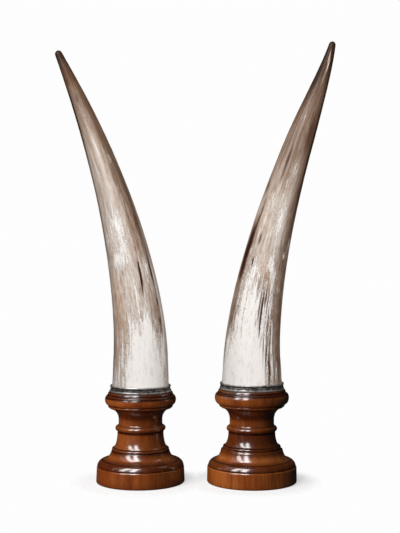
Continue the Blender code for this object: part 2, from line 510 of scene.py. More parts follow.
STANDS = {
    "left": Stand(
        -1, 0.1173, 0.0577, 0.0008, 0.012, 0.03, 0.043, 0.0373, 0.0285,
        0.0702, 0.0328, 0.0988, 0.0423, 0.1072, 0.042, 0.04635, 0.1111, 0.0409,
    ),
    "right": Stand(
        1, 0.1206, 0.0585, 0.0003, 0.0104, 0.0306, 0.0458, 0.0378, 0.029,
        0.0695, 0.033, 0.1, 0.0428, 0.1102, 0.0434, 0.0484, 0.1154, 0.0424,
    ),
}  # fmt: skip
print("Stand heights in metres:", {side: stand.height for side, stand in STANDS.items()})

# %% [markdown]
# The stain differs from moulding to moulding, and the same stations carry painted light. The
# hollow and the cushion's edges are dark, partly as painted shade. The cap's belly and the middle
# of the flare are light, partly as painted highlights. The feet are light, and the right waist is
# darker than the left one. So it is written as stations, each a height in millimetres and a share
# of the full stain.

# %% Stain and painted light of the stands
STAIN_AND_LIGHT = {
    "left": (
        (0, 0.65), (8, 0.35), (20, 0.3), (23, 0.85), (29, 0.85), (34, 0.25), (40, 0.75),
        (46, 0.5), (56, 0.4), (63, 0.4), (66, 0.8), (70, 0.6), (74, 0.4), (80, 0.4),
        (86, 0.85), (96, 0.85), (99, 0.25), (104, 0.1), (108, 0.3), (111, 0.9), (118, 0.8),
    ),
    "right": (
        (0, 0.45), (8, 0.0), (20, 0.0), (23, 0.8), (29, 0.8), (34, 0.1), (40, 0.75),
        (46, 1.0), (56, 1.0), (63, 0.9), (66, 0.9), (70, 0.7), (74, 0.35), (80, 0.35),
        (86, 0.95), (96, 0.85), (100, 0.3), (106, 0.2), (112, 0.45), (116, 0.85), (121, 0.8),
    ),
}  # fmt: skip
print("Stations of stain:", {side: len(stations) for side, stations in STAIN_AND_LIGHT.items()})


# %% Outline of a stand
def stand_mouldings(stand):
    """The stretches of the outline, from the middle of the top down to the middle of the foot."""
    top = stand.height
    cap_centre = (stand.cap_core_radius, stand.cap_z)
    cap_reach = stand.cap_radius - stand.cap_core_radius
    rise = top - TOP_FILLET[1] - TOP_CREASE - stand.cap_z
    drop = stand.cap_z - stand.cap_fillet_z - CAP_FILLET[1]
    cove_radius = stand.cap_fillet_radius - COVE_INSET
    cove_rise = stand.cap_fillet_z - CAP_FILLET[1] - COVE_DROP - COVE_BOTTOM_Z
    cove_reach = (stand.neck_radius - cove_radius, cove_rise)
    neck_low = (stand.neck_radius, stand.neck_bead_z + NECK_BEAD[1] + NECK_BOTTOM_GAP)
    waist_top = stand.neck_bead_z - NECK_BEAD[1] - NECK_BEAD_GAP
    waist_drop = waist_top - stand.waist_bead_z - WAIST_BEAD[1]
    waist_centre = (stand.waist_radius + WAIST_REACH, waist_top)
    waist_bead = (stand.waist_bead_radius - WAIST_BEAD[0], stand.waist_bead_z)
    flare_top = stand.waist_bead_z + FLARE_OVERLAP
    flare_centre = (stand.foot_radius - FLARE_INSET, flare_top)
    flare_reach = (-stand.flare_reach, FLARE_BOTTOM_Z - flare_top)
    cushion_centre = (stand.foot_radius - CUSHION_INSET, CUSHION_CENTRE_Z)
    drum_radius = stand.foot_radius - stand.foot_taper
    groove_radius = drum_radius - GROOVE_DEPTH
    shoulder_centre = (drum_radius - FOOT_SHOULDER, FOOT_HEIGHT - FOOT_SHOULDER)
    neck_centre = (stand.neck_bead_radius - NECK_BEAD[0], stand.neck_bead_z)
    fillet_centre = (stand.cap_fillet_radius - CAP_FILLET[0], stand.cap_fillet_z)
    edge_centre = (stand.foot_radius - FOOT_EDGE, FOOT_EDGE)
    cove = arc((cove_radius, COVE_BOTTOM_Z), cove_reach, 80, 2, 24)
    shoulder = arc(shoulder_centre, (FOOT_SHOULDER, FOOT_SHOULDER), 78, 0, 10)
    edge = arc(edge_centre, (FOOT_EDGE, FOOT_EDGE), 0, -90, 8)
    quirk = math.degrees(math.asin((stand.cap_quirk_z - stand.cap_z) / rise))
    groove = (cap_reach - QUIRK_DEPTH, rise - QUIRK_DEPTH)
    return [
        line((0.0, top), (stand.top_radius, top), 8)[:-1]
        + arc((stand.top_radius, top - TOP_FILLET[1]), TOP_FILLET, 90, 10, 10),
        arc(cap_centre, (cap_reach, rise), 76, quirk + QUIRK_HALF_ANGLE, 8)
        + arc(cap_centre, groove, quirk + 1, quirk - 1, 2),
        arc(cap_centre, (cap_reach, rise), quirk - QUIRK_HALF_ANGLE, 0, 12)
        + arc(cap_centre, (cap_reach, drop), -4, -78, 18),
        arc(fillet_centre, CAP_FILLET, 66, -74, 12),
        cove + line(cove[-1], neck_low, 6)[1:],
        arc(neck_centre, NECK_BEAD, 80, -80, 18),
        arc(waist_centre, (-WAIST_REACH, -waist_drop), 2, 84, 26),
        arc(waist_bead, WAIST_BEAD, 70, -56, 12),
        arc(flare_centre, flare_reach, 19, 88, 26),
        arc(cushion_centre, (CUSHION_RADIUS, CUSHION_RADIUS), 70, 8, 20),
        line((groove_radius, FOOT_HEIGHT + GROOVE_WIDTH), (groove_radius, FOOT_HEIGHT), 3),
        shoulder + line(shoulder[-1], edge[0], 14)[1:-1] + edge,
        line((stand.foot_radius - FOOT_EDGE - UNDERSIDE_INSET, 0.0), (0.0, 0.0), 8),
    ]


print("Mouldings of a stand:", len(stand_mouldings(STANDS["left"])))


# %% Both stands
def make_stand(side):
    """One turned stand, in the wood of its side."""
    stand = STANDS[side]
    mouldings = stand_mouldings(stand)
    creases = []
    for upper, lower in zip(mouldings[:-2], mouldings[1:-1]):
        creases.append(tuple((Vector(upper[-1]) + Vector(lower[0])) / 2))
    points = [point for moulding in mouldings for point in moulding]
    paint = {
        "crease": near_crease(points, creases),
        "stain_and_light": stain_and_light_at(points, STAIN_AND_LIGHT[side]),
        "upright": upright_at(points),
    }
    shape = spin(points, paint, False, TURNED_STEPS)
    bmesh.ops.translate(shape, verts=shape.verts[:], vec=(stand.axis_x, 0.0, 0.0))
    name = f"stand_{side}"
    return show(f"turned_{name}", shape, name, woods[side])


stands = {side: make_stand(side) for side in STANDS}

# %% [markdown]
# ## Shape of a horn
# A horn grows as a cone that bends. The easy way to a clean skin is to turn a straight cone
# first, with the horn's girth at every height, and then to bend it along its middle line. The
# fibres of a horn follow that cone, so each point keeps its height and turn from before the
# bend, and all the marks are placed by those two.


# %% Sizes of the horns
@dataclass
class Horn:
    """One horn. girth holds the radius at even steps of the height, from base to nose."""

    side: int
    height: float
    straight: float
    lean: float
    bend_power: float
    tip_curl: float
    curl_power: float
    sweep: float
    nose_length: float
    girth: tuple


LEFT_GIRTH = (0.0374, 0.0354, 0.0325, 0.0289, 0.0249, 0.0204, 0.0155, 0.0102, 0.0044)
RIGHT_GIRTH = (0.0399, 0.0364, 0.0329, 0.029, 0.0254, 0.0216, 0.0171, 0.0109, 0.004)
HORNS = {
    "left": Horn(-1, 0.442, 0.05, 0.1072, 1.7, 0.0, 12.0, 0.014, 0.005, LEFT_GIRTH),
    "right": Horn(1, 0.4506, 0.04, 0.1123, 1.6, 0.008, 12.0, 0.014, 0.005, RIGHT_GIRTH),
}
HORN_RINGS = 290
HORN_STEPS = 320
NOSE_RINGS = 10
NOSE_END_ANGLE = 84
SKIN = 0.00004
BEND_STEP = 0.0001


def girth_at(horn, height):
    """The horn's radius at a height, on a smooth curve through its girths."""
    last = len(horn.girth) - 1
    along = min(max(height / horn.height, 0.0), 1.0) * last
    number = min(int(along), last - 1)
    part = along - number
    before = horn.girth[number - 1] if number else 2 * horn.girth[0] - horn.girth[1]
    here, after = horn.girth[number], horn.girth[number + 1]
    beyond = horn.girth[number + 2] if number + 2 <= last else 2 * after - here
    slope_here = (after - before) / 2
    slope_after = (beyond - here) / 2
    square, cube = part * part, part * part * part
    return (
        (2 * cube - 3 * square + 1) * here
        + (cube - 2 * square + part) * slope_here
        + (3 * square - 2 * cube) * after
        + (cube - square) * slope_after
    )


def centre_at(horn, heights):
    """Points of the horn's middle line at heights above its base, one row for each."""
    bend = np.maximum(0.0, (heights - horn.straight) / (horn.height - horn.straight))
    lean = horn.lean * bend**horn.bend_power - horn.tip_curl * bend**horn.curl_power
    return np.stack([horn.side * lean, -horn.sweep * bend**2, heights], axis=-1)


for side, horn in HORNS.items():
    print("The tip of the", side, "horn leans", centre_at(horn, np.array([horn.height])).round(4))


# %% Straight cone of a horn
def horn_outline(horn):
    """The straight horn's outline, from the middle of its base up to the point of its tip."""
    points = line((0.0, 0.0), (horn.girth[0], 0.0), 6)[:-1]
    body = horn.height - horn.nose_length
    for ring in range(HORN_RINGS + 1):
        height = body * ring / HORN_RINGS
        points.append((girth_at(horn, height) - SKIN, height))
    nose = (girth_at(horn, body) - SKIN, horn.nose_length - SKIN)
    points += arc((0.0, body), nose, 6, NOSE_END_ANGLE, NOSE_RINGS)
    points.append((0.0, points[-1][1]))
    return points


def read_points(mesh):
    """The mesh's points as an array with one row each."""
    flat = np.empty(len(mesh.vertices) * 3)
    mesh.vertices.foreach_get("co", flat)
    return flat.reshape(-1, 3)


def bend_horn(horn, points, seat, axis_x):
    """Sets each section of a straight horn square across the middle line, at its own height."""
    heights = points[:, 2]
    along = centre_at(horn, heights + BEND_STEP) - centre_at(horn, heights - BEND_STEP)
    along /= np.linalg.norm(along, axis=1)[:, None]
    across = np.array([1.0, 0.0, 0.0]) - along[:, :1] * along
    across /= np.linalg.norm(across, axis=1)[:, None]
    behind = np.cross(along, across)
    bent = centre_at(horn, heights) + points[:, :1] * across + points[:, 1:2] * behind
    return bent + np.array([axis_x, 0.0, seat])


print("Points on a horn's outline:", len(horn_outline(HORNS["left"])))

# %% [markdown]
# ## Marks on the horns
# A polished horn has a pale skin over darker layers. Near the base the skin is whole, higher up
# only streaks and flakes of it are left, and the layers below go from tan to grey brown and
# nearly black at the tip. Such marks follow no formula, so they are placed one by one, as a
# painter would: each by its height in millimetres and its turn in degrees from the front, with
# its reach both ways and its strength. A positive tone darkens and a negative one lightens.
# The shader later frays their edges along the fibres, so a few soft marks are enough. Some
# marks are painted light: the dark lines down the outer edges of the horns are painted shade,
# and the pale streaks down the middle of the left horn and on the right horn's tip are painted
# highlights.

# %% Marks of the left horn
LEFT_TONES = (
    (0, 0.36), (60, 0.33), (100, 0.27), (150, 0.26), (185, 0.27), (210, 0.29), (240, 0.33),
    (300, 0.35), (320, 0.41), (345, 0.52), (370, 0.68), (395, 0.76), (402, 0.83), (425, 0.92),
    (436, 1.05),
)
LEFT_MARKS = {
    "tone": (
        (250, -58, 120, 18, 0.05), (40, -70, 60, 18, 0.05), (265, 56, 105, 34, 0.42),
        # The first two marks on the next line are painted shade: the dark line down the left edge.
        (372, -62, 44, 9, 0.62), (290, -68, 120, 6, 0.4), (60, -68, 60, 6, 0.22),
        # (312, -2) and (272, -1) are painted highlights: the soft sheen down the middle of the
        # horn.
        (379, -6, 5, 8, 0.16), (352, -30, 8, 10, 0.06), (312, -2, 20, 8, -0.18),
        (272, -1, 44, 8, -0.12), (285, 28, 30, 9, 0.12), (330, 40, 25, 12, 0.1),
        (215, 57, 14, 9, 0.16), (195, 30, 24, 11, 0.12), (128, 61, 62, 3.5, 0.42),
        (152, 60, 14, 4, 0.44), (115, 61, 5, 4, 0.28), (90, 60, 5, 4, 0.28),
        (76, 59, 4, 4, 0.24), (110, 70, 45, 5, -0.2), (90, -50, 70, 13, 0.03),
        (128, 20, 18, 5, 0.22), (98, 36, 20, 3, 0.22), (104, 46, 26, 4, 0.22),
        (116, 53, 14, 4, 0.22), (92, 56, 18, 3, 0.22), (96, 12, 14, 8, 0.1),
        (76, 50, 10, 12, 0.2), (20, 52, 4, 5, 0.2), (20, -58, 24, 14, -0.08),
    ),
    "cover": (
        (20, 15, 68, 47, 1.2), (84, 22, 26, 9, 0.55), (80, -8, 16, 10, 0.25),
        (112, -18, 42, 2.6, 0.42), (134, 6, 36, 2.8, 0.46), (54, -38, 28, 2.4, 0.7),
        (40, -46, 40, 2.4, 0.35), (12, -60, 14, 14, 0.45), (200, -16, 30, 28, 0.44),
        (228, -8, 15, 22, 0.34), (178, -8, 14, 18, 0.24), (206, 2, 20, 16, 0.26),
        (172, -30, 10, 15, 0.56), (205, -52, 6, 6, 0.45), (164, 46, 12, 9, 0.42),
        (140, 66, 26, 5, 0.44), (150, 40, 16, 9, 0.34), (283, -22, 6, 6, 0.36),
        (300, 38, 8, 8, 0.34), (262, 28, 5, 6, 0.3), (110, 8, 50, 30, 0.12),
        (60, 62, 24, 8, 0.4),
    ),
    "ruddy": (
        (410, 0, 22, 200, 0.65), (195, 34, 26, 18, 0.34), (215, 58, 14, 10, 0.5),
        (100, -44, 90, 30, 0.5), (100, 48, 30, 12, 0.3), (240, -50, 120, 20, 0.18),
    ),
    "slit": (
        (152, 25.4, 18, 3.2, 1.2), (130, 23, 16, 2.2, 0.45), (50, -31, 24, 2.2, 0.5),
        # (366, -63) is painted shade down the left edge, not a split.
        (154, 60.5, 14, 2.8, 0.8), (115, 61.5, 6, 2.4, 0.6), (366, -63, 34, 6, 0.55),
        (64, -20, 5, 2.0, 0.35), (76, 8, 5, 2.5, 0.35), (40, -25, 14, 2.0, 0.3),
        (78, 46, 5, 2.4, 0.4), (90, 38, 5, 2.2, 0.4), (0, 0, 3.0, 400, 0.35),
    ),
}
print("Marks on the left horn:", {kind: len(row) for kind, row in LEFT_MARKS.items()})

# %% Marks of the right horn
RIGHT_TONES = (
    (0, 0.55), (45, 0.52), (75, 0.5), (105, 0.46), (135, 0.46), (160, 0.42), (180, 0.38),
    (200, 0.32), (230, 0.34), (255, 0.44), (285, 0.55), (315, 0.66), (350, 0.69), (385, 0.78),
    (405, 0.9), (430, 1.02), (446, 1.1),
)
RIGHT_MARKS = {
    "tone": (
        (168, -69, 34, 13, 0.66), (198, -60, 22, 12, 0.46), (228, -55, 14, 4, 0.34),
        # (300, 62) and (330, 68) are painted shade: the dark line down the right edge.
        (258, -70, 8, 10, 0.24), (375, -65, 30, 14, 0.1), (300, 62, 110, 17, 0.24),
        (330, 68, 110, 8, 0.4), (95, 62, 85, 24, 0.16), (210, 52, 60, 20, 0.3),
        (335, 31, 26, 13, 0.22), (296, -23, 17, 6, 0.3), (296, -10, 26, 16, 0.08),
        (400, -46, 34, 24, 0.16), (404, 2, 14, 9, -0.16), (278, -22, 12, 4, 0.14),
        (350, -18, 4, 5, -0.16), (193, -32, 12, 4, 0.34), (160, -37, 7, 4, 0.36),
        (240, 16, 24, 10, -0.1), (210, 14, 26, 14, -0.08), (288, 14, 12, 9, -0.12),
        (165, -10, 16, 15, -0.1), (215, -42, 20, 9, -0.02), (113, -50, 9, 7, 0.12),
        (100, -66, 30, 12, 0.12), (30, -62, 22, 14, -0.1), (118, 2, 30, 3, 0.14),
        (96, 8, 34, 3, 0.2), (112, 15, 28, 2.6, 0.16), (84, 20, 26, 2.6, 0.2),
        (92, 26, 28, 2.6, 0.18), (70, 31, 50, 3, 0.2), (32, 26, 24, 2.6, 0.24),
        (30, 33, 24, 2.6, 0.3), (112, 37, 40, 4, 0.12), (190, 62, 16, 8, -0.14),
        # (431, -2) and (421, 11) are a painted highlight: the bright streak on the tip.
        (408, 8, 14, 5, -0.2), (431, -2, 9, 6, -0.85), (421, 11, 9, 6, -0.8),
    ),
    "cover": (
        (16, -14, 84, 42, 1.22), (132, -25, 40, 33, 0.5), (96, -24, 34, 30, 0.2),
        (158, -26, 16, 22, 0.16), (50, 8, 44, 9, 0.3), (104, 27, 66, 12, 0.34),
        (122, 18, 36, 22, 0.14), (40, 20, 26, 5, 0.4), (48, 40, 42, 2.8, 0.62),
        (20, 52, 16, 3.5, 0.36), (22, -62, 30, 18, 0.75), (64, -64, 16, 12, 0.42),
        (228, 4, 24, 18, 0.4), (200, 14, 34, 13, 0.4), (165, 12, 10, 11, 0.46),
        (150, 22, 16, 8, 0.36), (176, -50, 6, 7, 0.46), (165, -56, 6, 5, 0.34),
        (135, 44, 6, 6, 0.42), (178, 50, 6, 10, 0.34), (190, 62, 14, 8, 0.34),
        (240, -30, 16, 20, 0.3), (90, 50, 90, 14, 0.1), (280, 10, 30, 20, 0.22),
        (350, -18, 4, 5, 0.4),
    ),
    "ruddy": (
        (90, 58, 90, 26, 0.4), (335, 32, 34, 18, 0.45), (172, -68, 40, 12, 0.5),
        (158, 0, 30, 24, 0.4), (270, 44, 50, 22, 0.3), (215, -42, 24, 12, 0.34),
        (113, -50, 12, 9, 0.4), (425, 30, 30, 60, 0.2), (425, -40, 30, 40, 0.6),
        (120, 20, 40, 16, 0.24),
    ),
    "slit": (
        (172, -67, 32, 9, 0.95), (228, -55, 15, 3.2, 0.55), (212, -58, 14, 4, 0.6),
        (193, -32, 11, 2.4, 0.8), (163, -36, 8, 2.8, 0.8), (30, 33, 26, 2.4, 0.6),
        (32, 25, 24, 2.2, 0.48), (64, 36, 30, 2.2, 0.4), (296, -23, 14, 3, 0.3),
        (100, 8, 30, 2.2, 0.38), (80, 19, 26, 2.2, 0.38), (104, 26, 24, 2.2, 0.38),
        (112, 3, 28, 2.0, 0.62), (98, 9, 36, 2.0, 0.66), (126, 15, 24, 2.0, 0.6),
        (134, -6, 20, 1.8, 0.5), (118, 21, 26, 2.0, 0.56), (60, 14, 20, 2.2, 0.5),
        (60, 27, 30, 2.0, 0.56), (44, 20, 26, 1.8, 0.5), (30, 46, 26, 2.4, 0.36),
        (0, 0, 3.0, 400, 0.35),
    ),
}
print("Marks on the right horn:", {kind: len(row) for kind, row in RIGHT_MARKS.items()})

# %% [markdown]
# The hidden back gets marks of the same kind. No photograph shows them, so they are drawn at
# random from a fixed seed, which gives the same back on every run. A ring of whole skin goes
# round the base, as at the front.

# %% Marks of the backs
HORN_MARKS = {"left": (LEFT_TONES, LEFT_MARKS), "right": (RIGHT_TONES, RIGHT_MARKS)}
FIRMNESS = {"tone": 1.2, "cover": 1.5, "ruddy": 1.0, "slit": 1.4}
BACK_SEED = 7
BACK_MARKS = 34
BACK_HEIGHTS = (10, 380)
BACK_TURNS = (95, 265)
BACK_TALL = (12, 60)
BACK_WIDE = (2, 12)
BACK_SHADES = (-0.25, 0.3)
BACK_RING = (10, 180, 55, 90, 1.3)
FLAKE_EVERY = 3
FLAKE_COVER = (0.35, 0.7)
FLAKE_RUDDY = (0.3, 0.8)
SLIT_RISE = 30
SLIT_WIDTH = 2.4
SLIT_STRENGTH = (0.4, 0.8)


def back_marks(side):
    """Streaks, slits and flakes for the hidden back, drawn from a fixed seed."""
    draw = np.random.default_rng(BACK_SEED + HORNS[side].side)
    marks = {kind: [] for kind in FIRMNESS}
    for number in range(BACK_MARKS):
        height, turn = draw.uniform(*BACK_HEIGHTS), draw.uniform(*BACK_TURNS)
        tall, wide = draw.uniform(*BACK_TALL), draw.uniform(*BACK_WIDE)
        marks["tone"].append((height, turn, tall, wide, draw.uniform(*BACK_SHADES)))
        if number % FLAKE_EVERY == 0:
            cover, ruddy = draw.uniform(*FLAKE_COVER), draw.uniform(*FLAKE_RUDDY)
            slit = draw.uniform(*SLIT_STRENGTH)
            marks["cover"].append((height, turn, tall / 2, wide * 1.5, cover))
            marks["ruddy"].append((height, turn, tall, wide * 2, ruddy))
            marks["slit"].append((height + SLIT_RISE, turn, tall / 2, SLIT_WIDTH, slit))
    marks["cover"].append(BACK_RING)
    return marks


print("Marks on each back:", {kind: len(row) for kind, row in back_marks("left").items()})

# %% [markdown]
# A mark is a soft blob, flat in the middle and falling off at its reach. The blobs of one kind
# are added up at every point of the mesh and stored there as an attribute, which the shader
# reads. The grain is the place's turn and height on a straight cylinder, so noise runs along
# the fibres, and they draw together towards the tip.

# %% Painting a horn
BACK_TONE = 0.1
BACK_EDGE = 100
BACK_SOFTNESS = 12


def paint_marks(kind, marks, heights, turns):
    """Adds up the marks of one kind at every point of a horn."""
    field = np.zeros(len(heights))
    for height, turn, tall, wide, strength in marks:
        across = (turns - turn + 180) % 360 - 180
        gap = ((heights - height) / tall) ** 2 + (across / wide) ** 2
        field += strength * np.exp(-(gap ** FIRMNESS[kind]))
    return field


def paint_horn(side, points):
    """Every painted field of a straight horn, and the grain that its fibres follow."""
    horn = HORNS[side]
    tones, marks = HORN_MARKS[side]
    hidden = back_marks(side)
    heights = points[:, 2] * 1000
    turns = np.degrees(np.arctan2(points[:, 0], -points[:, 1]))
    fields = {}
    for kind in FIRMNESS:
        fields[kind] = paint_marks(kind, [*marks[kind], *hidden[kind]], heights, turns)
    at, shade = zip(*tones)
    behind = 1 / (1 + np.exp((BACK_EDGE - np.abs(turns)) / BACK_SOFTNESS))
    fields["tone"] += np.interp(heights, at, shade) + BACK_TONE * behind
    fields["rise"] = heights / heights.max()
    round_it = np.radians(turns)
    grain = [np.sin(round_it), np.cos(round_it), points[:, 2] / horn.girth[0]]
    return fields, np.stack(grain, axis=-1)


print("Fields painted on a horn:", [*FIRMNESS, "rise", "grain"])

# %% [markdown]
# ## Carving
# Horn is built of long layers, so even polished it keeps shallow flutes, faint growth rings,
# and grooves where it has split. These are real hollows, so they are carved in the mesh and not
# left to the shader. Carving only takes away, so the horn never grows past its CAD size.

# %% Carving a horn
LUMPS = (0.0006, 1.6, 0.35)
FLUTES = (0.0004, 5.0, 0.1)
RINGS = (0.0002, 0.9, 4.2)
SLIT_DEPTH = 0.0009
SKIN_STEP = 0.00012
TIP_RADIUS = 0.01


def carve_horn(points, grain, fields):
    """Moves points inwards, by slits, the step of the skin, lumps, flutes and growth rings."""
    depth = SLIT_DEPTH * np.clip(fields["slit"], 0, 1)
    depth += SKIN_STEP * (1 - np.clip(fields["cover"] * 1.4, 0, 1))
    for reach, across, along in (LUMPS, FLUTES, RINGS):
        scaled = (grain * (across, across, along)).tolist()
        depth += reach * np.maximum(0.0, [noise.noise(place) for place in scaled])
    radius = np.hypot(points[:, 0], points[:, 1])
    share = 1 - depth * np.clip(radius / TIP_RADIUS, 0, 1) ** 2 / np.maximum(radius, 0.001)
    points[:, :2] *= share[:, None]


deepest = SLIT_DEPTH + SKIN_STEP + LUMPS[0] + FLUTES[0] + RINGS[0]
print("Carving goes in by less than", round(deepest * 1000, 2), "mm")

# %% [markdown]
# ## Finish of the horns
# Two layers make the horn. The tone that was painted picks the colour of the lower one from a
# ramp: beige, taupe, brown and nearly black. Over it lies the pale skin, wherever its painted
# cover and the noise along the fibres come above about one half together. The noise frays
# every edge into fibres, and beside them a thin dark line is painted, partly dirt and partly
# painted shade under the skin's raised edge. The splits are drawn last, nearly black, and on the
# left horn the slit field also holds a painted shade line down its left edge.
# The polish grows up to the upper half of the horn, and is duller on the dark tip.

# %% Colours of horn
HORN_RAMP = [
    (0.0, (0.84, 0.79, 0.74)),
    (0.2, (0.636, 0.553, 0.494)),
    (0.4, (0.464, 0.369, 0.303)),
    (0.6, (0.294, 0.206, 0.152)),
    (0.8, (0.15, 0.087, 0.056)),
    (1.0, (0.038, 0.018, 0.01)),
]
HORN_RUDDY = (1.0, 0.76, 0.58)
HORN_SKIN = (0.93, 0.885, 0.85)
HORN_SKIN_SHADE = (0.7, 0.645, 0.6)
HORN_DIRT_AND_SHADE = (0.16, 0.11, 0.085)
HORN_CUT = (0.042, 0.013, 0.01)
HORN_RELIEF = 0.00012


def horn_finish(name, start):
    """Polished horn, from the fields that are painted on it."""
    horn = Finish(name, Coat_Roughness=0.2, Coat_IOR=1.5, IOR=1.25)
    grain = horn.shift(horn.painted("grain", "Vector"), start)
    tone, ruddy = horn.painted("tone"), horn.painted("ruddy")
    cover, slit, rise = horn.painted("cover"), horn.painted("slit"), horn.painted("rise")
    streaks = horn.cloud(horn.stretch(grain, 0.12), 8.0, 4.0, 0.6, 0.3) - 0.5
    fibres = horn.cloud(horn.stretch(grain, 0.07), 26.0, 4.0, 0.62, 0.2) - 0.5
    hairs = horn.cloud(horn.stretch(grain, 0.05), 70.0, 3.0, 0.6) - 0.5
    mottle = horn.cloud(horn.stretch(grain, 0.5), 7.0, 4.0, 0.6, 0.5) - 0.5
    speckle = horn.cloud(horn.stretch(grain, 0.5), 30.0, 4.0, 0.65) - 0.5
    spots = horn.cloud(horn.stretch(grain, 0.45), 52.0, 2.0, 0.5)

    aged = horn.ease(tone, 0.9, 0.6, 0.3, 1.0)
    rugged = horn.ease(rise, 0.48, 0.64, 1.0, 0.45) * aged
    shade = tone + streaks * aged * 0.8 + (fibres * 0.75 + hairs * 0.45 + mottle * 0.45) * rugged
    colour = horn.node("ShaderNodeValToRGB", {"stops": HORN_RAMP}, {"Fac": shade})
    warm = horn.ease(ruddy + mottle * 1.2, 0.1, 0.9)
    colour = horn.blend(warm, colour, horn.blend(1.0, colour, HORN_RUDDY, "MULTIPLY"))

    frayed = streaks * 1.4 + fibres * 2.1 + speckle * 1.3 + hairs * 1.3
    chips = cover + frayed * horn.ease(cover, 0.0, 0.25, 0.2, 1.0)
    skin = horn.ease(chips, 0.38, 0.62)
    # Painted shade beside the frayed skin's raised edges, together with dirt settled there.
    skin_edge_dirt_and_shade = horn.ease(chips, 0.24, 0.42) * (1 - skin) * horn.ease(cover, 0.15, 0.4)
    worn = horn.ease(mottle * 1.2 + fibres * 0.8 + hairs * 0.5, 0.02, 0.4)
    pale = horn.blend(worn, HORN_SKIN, HORN_SKIN_SHADE)
    speck = horn.ease(spots + speckle * 0.2, 0.68, 0.74)
    colour = horn.blend(skin_edge_dirt_and_shade * 0.5, colour, HORN_DIRT_AND_SHADE)
    colour = horn.blend(skin * 0.93, colour, pale)
    colour = horn.blend(speck * 0.22, colour, HORN_DIRT_AND_SHADE)
    cut = horn.ease(slit + fibres * 1.2 + hairs * 0.5, 0.28, 0.7)
    colour = horn.blend(cut, colour, HORN_CUT)

    polish = horn.ease(rise, 0.1, 0.6, 0.12, 0.28) * horn.ease(tone, 0.95, 0.7, 0.3, 1.0)
    rough = 0.46 - polish * 0.2 + speckle * 0.4 + skin * 0.08
    relief = fibres * 0.6 + hairs * 0.4 + speckle * 0.3 + skin * 0.5 + cut * -0.8
    horn.use(Base_Color=colour, Roughness=rough, Coat_Weight=polish * (1 - cut))
    horn.use(Normal=horn.bump(relief, HORN_RELIEF))
    return horn.material


horn_materials = {
    "left": horn_finish("horn_left_polish", (0.0, 0.0, 0.0)),
    "right": horn_finish("horn_right_polish", (3.7, 1.9, 5.3)),
}
print("Horn:", [material.name for material in horn_materials.values()])

# %% [markdown]
# Now the steps come together: the straight cone is spun, its marks are painted and carved, and
# it is bent last, because marks and fibres are placed on the straight cone.

# %% Both horns
def attach(mesh, name, values):
    """Stores a painted field on a mesh, one value or one vector for each point."""
    vector = values.ndim == 2
    layer = mesh.attributes.new(name, "FLOAT_VECTOR" if vector else "FLOAT", "POINT")
    layer.data.foreach_set("vector" if vector else "value", values.ravel())


def make_horn(side):
    """One horn: a straight cone, painted with its marks, carved and then bent."""
    horn, stand = HORNS[side], STANDS[side]
    shape = spin(horn_outline(horn), {}, False, HORN_STEPS)
    name = f"horn_{side}"
    piece = show(f"polished_{name}", shape, name, horn_materials[side])
    points = read_points(piece.data)
    fields, grain = paint_horn(side, points)
    carve_horn(points, grain, fields)
    bent = bend_horn(horn, points, stand.seat, stand.axis_x)
    piece.data.vertices.foreach_set("co", bent.ravel())
    for kind, field in fields.items():
        attach(piece.data, kind, field)
    attach(piece.data, "grain", grain)
    piece.data.update()
    return piece


horns = {side: make_horn(side) for side in HORNS}

# %% [markdown]
# ## The collars
# A collar is a thin ring of silver: a half-round rim at the foot, a shallow hollow and a fine
# bead under the lip. It is spun like the stands, but its outline is closed, so it is a ring.

# %% Sizes of the collars
COLLAR_RIM_HALF = 0.0014
COLLAR_BEAD_HALF = 0.0011
COLLAR_HOLLOW_DEPTH = 0.0001
COLLAR_GAP_TOP = 0.0004
COLLAR_GAP_BOTTOM = 0.0003


@dataclass
class Collar:
    """The silver ring round the base of a horn, in metres."""

    height: float
    rim_radius: float
    waist_radius: float
    lip_radius: float


COLLARS = {
    "left": Collar(0.0084, 0.0405, 0.0392, 0.0397),
    "right": Collar(0.0084, 0.0421, 0.0413, 0.0417),
}
print("Collar heights in metres:", {side: collar.height for side, collar in COLLARS.items()})


# %% Both collars
def collar_stretches(collar, horn):
    """The stretches of a collar's closed outline, down its outside and up against the horn."""
    inner_bottom = girth_at(horn, 0.0) + GAP
    inner_top = girth_at(horn, collar.height) + GAP
    waist, top = collar.waist_radius, collar.height
    bead_reach = (collar.lip_radius - waist, COLLAR_BEAD_HALF)
    bead = arc((waist, top - COLLAR_BEAD_HALF), bead_reach, 84, -84, 14)
    hollow_top = (waist - COLLAR_HOLLOW_DEPTH, top - 2 * COLLAR_BEAD_HALF - COLLAR_GAP_TOP)
    hollow_bottom = (waist - COLLAR_HOLLOW_DEPTH, 2 * COLLAR_RIM_HALF + COLLAR_GAP_BOTTOM)
    rim_reach = (collar.rim_radius - waist, COLLAR_RIM_HALF)
    rim = arc((waist, COLLAR_RIM_HALF), rim_reach, 86, -86, 16)
    inside = line((inner_bottom, 0.0), (inner_top, top), 5)
    return [bead, line(hollow_top, hollow_bottom, 8), rim, inside]


def make_collar(side):
    """One silver collar."""
    collar, stand = COLLARS[side], STANDS[side]
    bead, hollow, rim, inside = collar_stretches(collar, HORNS[side])
    points = bead + hollow + rim + inside
    creases = [hollow[0], hollow[-1], inside[-1]]
    shape = spin(points, {"crease": near_crease(points, creases)}, True, TURNED_STEPS)
    bmesh.ops.translate(shape, verts=shape.verts[:], vec=(stand.axis_x, 0.0, stand.seat))
    name = f"collar_{side}"
    return show(f"silver_{name}", shape, name, silver)


collars = {side: make_collar(side) for side in COLLARS}

